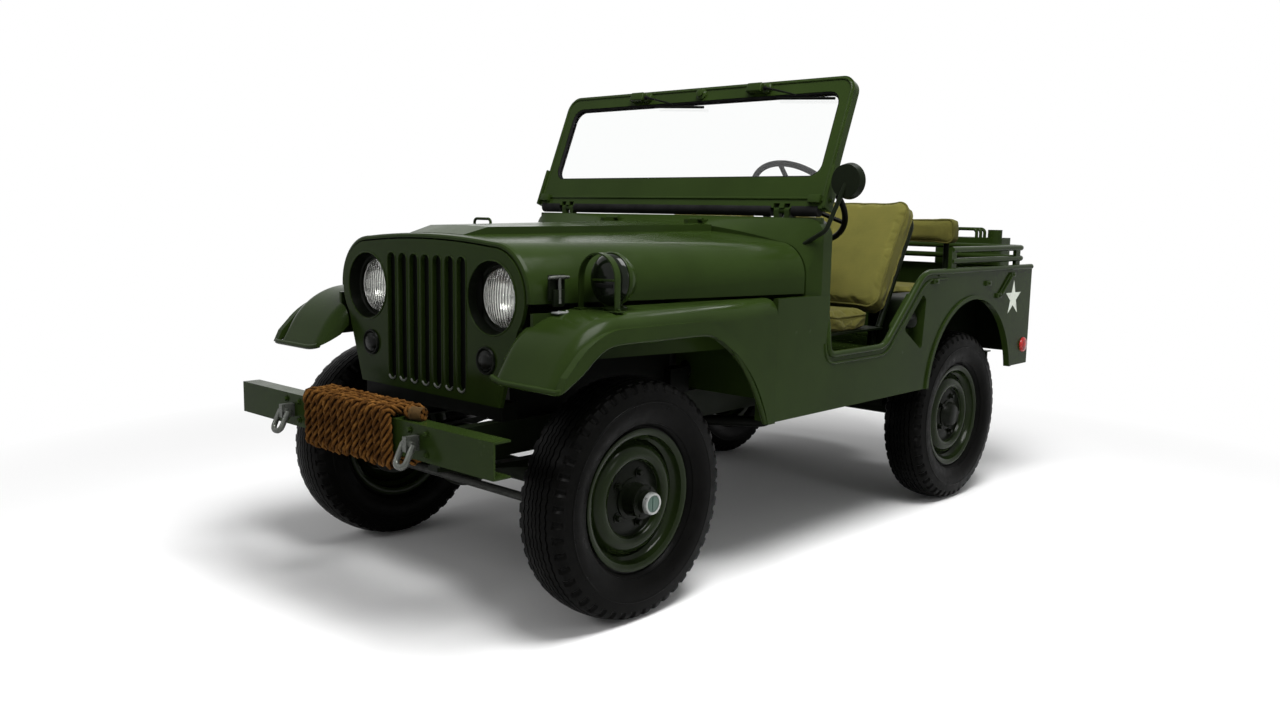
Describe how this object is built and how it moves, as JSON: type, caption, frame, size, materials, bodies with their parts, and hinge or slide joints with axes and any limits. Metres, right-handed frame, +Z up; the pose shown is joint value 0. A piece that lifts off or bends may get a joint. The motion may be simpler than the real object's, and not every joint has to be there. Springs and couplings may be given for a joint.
{
  "type": "army 4x4 utility car",
  "caption": "Open army 4x4 utility car with a slotted grille, round fenders, folding windshield, bench and bucket seats, steered front wheels and a rope wound on the front bumper.",
  "frame": {"origin": "on the ground under the middle of the wheelbase, on the car's centre plane", "axes": "+X to the car's left, +Y to its rear, +Z up; the front faces -Y"},
  "size_m": [1.647, 3.5021, 1.7419],
  "materials": {
    "olive_paint": "glossy olive drab",
    "dark_paint": "satin dark olive",
    "black_paint": "satin black",
    "tyre": "black rubber",
    "glass": "clear",
    "canvas": "khaki canvas",
    "rope": "manila rope",
    "lamp_glass": "clear lens",
    "red_lens": "red lens",
    "cast_iron": "painted casting"
  },
  "bodies": {
    "chassis": {"blackout_lamp": "olive_paint", "body_side_left": "olive_paint", "body_side_right": "olive_paint", "cowl": "olive_paint", "engine": "cast_iron", "exhaust": "black_paint", "fender_left": "olive_paint", "fender_right": "olive_paint", "firewall": "olive_paint", "floor": "olive_paint", "frame": "dark_paint", "front_axle": "dark_paint", "front_bumper": "olive_paint", "front_seat_backs": "canvas", "front_seat_cushions": "canvas", "fuel_can": "olive_paint", "gearbox": "cast_iron", "grille": "olive_paint", "headlamps": "lamp_glass", "instrument_panel": "olive_paint", "leaf_springs": "black_paint", "levers": "black_paint", "marker_lamps": "lamp_glass", "mirror": "olive_paint", "pintle_hook": "dark_paint", "propeller_shafts": "black_paint", "radiator": "black_paint", "rear_axle": "dark_paint", "rear_bumperettes": "olive_paint", "rear_carriers": "olive_paint", "rear_panel": "olive_paint", "rear_seat_back": "canvas", "rear_seat_cushion": "canvas", "rope_winding": "rope", "seat_frames": "olive_paint", "spare_tyre": "tyre", "spare_wheel": "olive_paint", "steering_column": "black_paint", "tail_lamps": "red_lens", "top_bows": "olive_paint", "tow_shackles": "dark_paint", "wheel_houses": "olive_paint"},
    "hood": {"hood": "olive_paint"},
    "windshield": {"windshield_frame": "olive_paint", "windshield_glass": "glass"},
    "steering_wheel": {"steering_wheel": "black_paint"},
    "knuckle_left": {"knuckle_left": "dark_paint"},
    "knuckle_right": {"knuckle_right": "dark_paint"},
    "tie_rod": {"tie_rod": "black_paint"},
    "wheel_front_left": {"wheel_fl": "olive_paint", "tyre_fl": "tyre"},
    "wheel_front_right": {"wheel_fr": "olive_paint", "tyre_fr": "tyre"},
    "wheel_rear_left": {"wheel_rl": "olive_paint", "tyre_rl": "tyre"},
    "wheel_rear_right": {"wheel_rr": "olive_paint", "tyre_rr": "tyre"}
  },
  "joints": [
    {"name": "steer_left", "type": "hinge", "parent": "chassis", "child": "knuckle_left", "pos_m": [0.505, -1.0285, 0.374], "axis": [0, 0, 1], "range_deg": [-26, 26]},
    {"name": "steer_right", "type": "hinge", "parent": "chassis", "child": "knuckle_right", "pos_m": [-0.505, -1.0285, 0.374], "axis": [0, 0, 1], "range_deg": [-26, 26]},
    {"name": "tie_rod_pin", "type": "hinge", "parent": "knuckle_left", "child": "tie_rod", "pos_m": [0.505, -1.1885, 0.374], "axis": [0, 0, 1], "range_deg": [-26, 26]},
    {"name": "steering_wheel_turn", "type": "hinge", "parent": "chassis", "child": "steering_wheel", "pos_m": [0.345, 0.2565, 1.29], "axis": [0, 0.7431, 0.6691], "range_deg": [-364, 364]},
    {"name": "hood_hinge", "type": "hinge", "parent": "chassis", "child": "hood", "pos_m": [0, -0.2315, 1.22], "axis": [-1, 0, 0], "range_deg": [0, 95]},
    {"name": "windshield_fold", "type": "hinge", "parent": "chassis", "child": "windshield", "pos_m": [0, -0.1515, 1.258], "axis": [-1, 0, 0], "range_deg": [-107, 0]},
    {"name": "spin_front_left", "type": "hinge", "parent": "knuckle_left", "child": "wheel_front_left", "pos_m": [0.624, -1.0285, 0.374], "axis": [1, 0, 0], "continuous": true},
    {"name": "spin_front_right", "type": "hinge", "parent": "knuckle_right", "child": "wheel_front_right", "pos_m": [-0.624, -1.0285, 0.374], "axis": [1, 0, 0], "continuous": true},
    {"name": "spin_rear_left", "type": "hinge", "parent": "chassis", "child": "wheel_rear_left", "pos_m": [0.624, 1.0285, 0.374], "axis": [1, 0, 0], "continuous": true},
    {"name": "spin_rear_right", "type": "hinge", "parent": "chassis", "child": "wheel_rear_right", "pos_m": [-0.624, 1.0285, 0.374], "axis": [1, 0, 0], "continuous": true}
  ],
  "couplings": [
    {"joint": "steer_right", "follows": "steer_left", "ratio": 1},
    {"joint": "tie_rod_pin", "follows": "steer_left", "ratio": -1},
    {"joint": "steering_wheel_turn", "follows": "steer_left", "ratio": 14}
  ]
}
